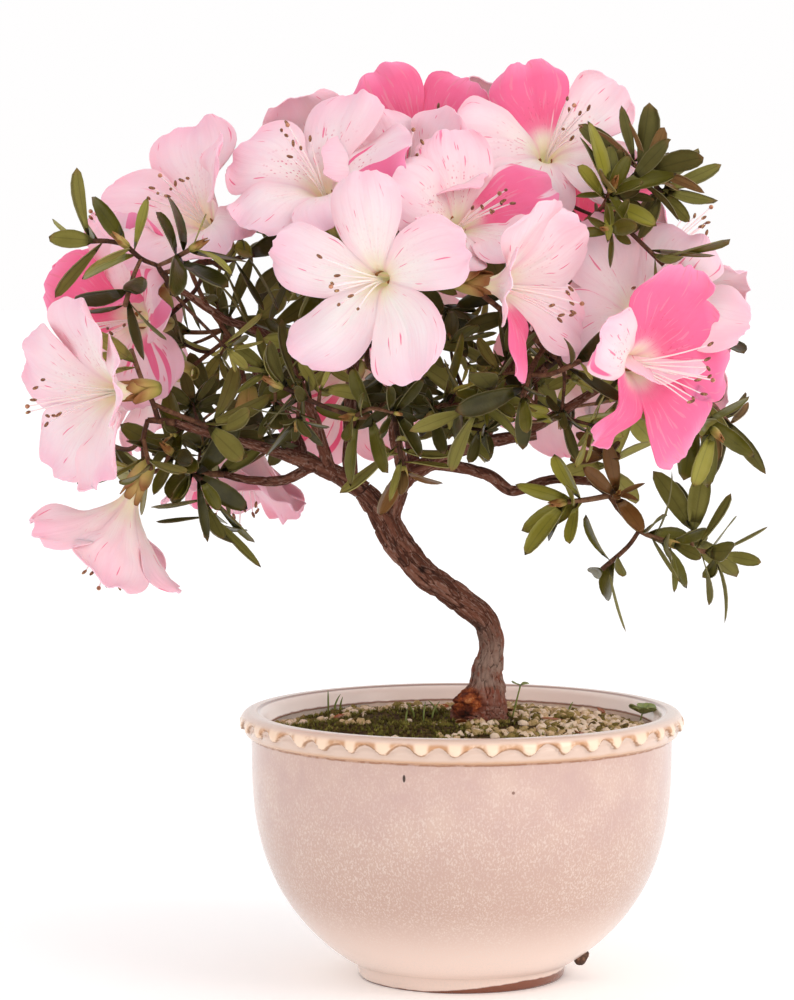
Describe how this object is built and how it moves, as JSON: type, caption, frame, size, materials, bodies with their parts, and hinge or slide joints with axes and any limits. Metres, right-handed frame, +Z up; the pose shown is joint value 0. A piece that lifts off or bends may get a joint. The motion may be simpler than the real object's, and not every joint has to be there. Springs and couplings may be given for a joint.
{
  "type": "flowering azalea bonsai in a pot",
  "caption": "Small azalea bonsai with an S-shaped trunk, open crown of wide funnel-shaped blooms and whorled leaves, in a round glazed bowl pot with a rolled rim, filled with soil.",
  "frame": {"origin": "centre of the flat underside of the pot's foot", "axes": "+Z up, +X to the right as the plant is seen from its front, +Y away from the viewer"},
  "size_m": [0.252, 0.2064, 0.3125],
  "materials": {
    "glaze": "satin",
    "soil": "matte",
    "bark": "matte",
    "foliage": "matte"
  },
  "bodies": {
    "root": {"back_bough": "bark", "back_left_bough": "bark", "back_left_mass": "foliage", "back_mass": "foliage", "back_right_bough": "bark", "back_right_mass": "foliage", "front_bough": "bark", "front_mass": "foliage", "left_bough": "bark", "left_front_bough": "bark", "left_front_mass": "foliage", "left_low_bough": "bark", "left_low_mass": "foliage", "left_top_bough": "bark", "left_top_mass": "foliage", "pot": "glaze", "right_bough": "bark", "right_end_bough": "bark", "right_end_mass": "foliage", "right_front_bough": "bark", "right_front_mass": "foliage", "right_low_bough": "bark", "right_low_mass": "foliage", "right_top_bough": "bark", "right_top_mass": "foliage", "soil": "soil", "top_bough": "bark", "top_mass": "foliage", "trunk": "bark"}
  },
  "joints": []
}
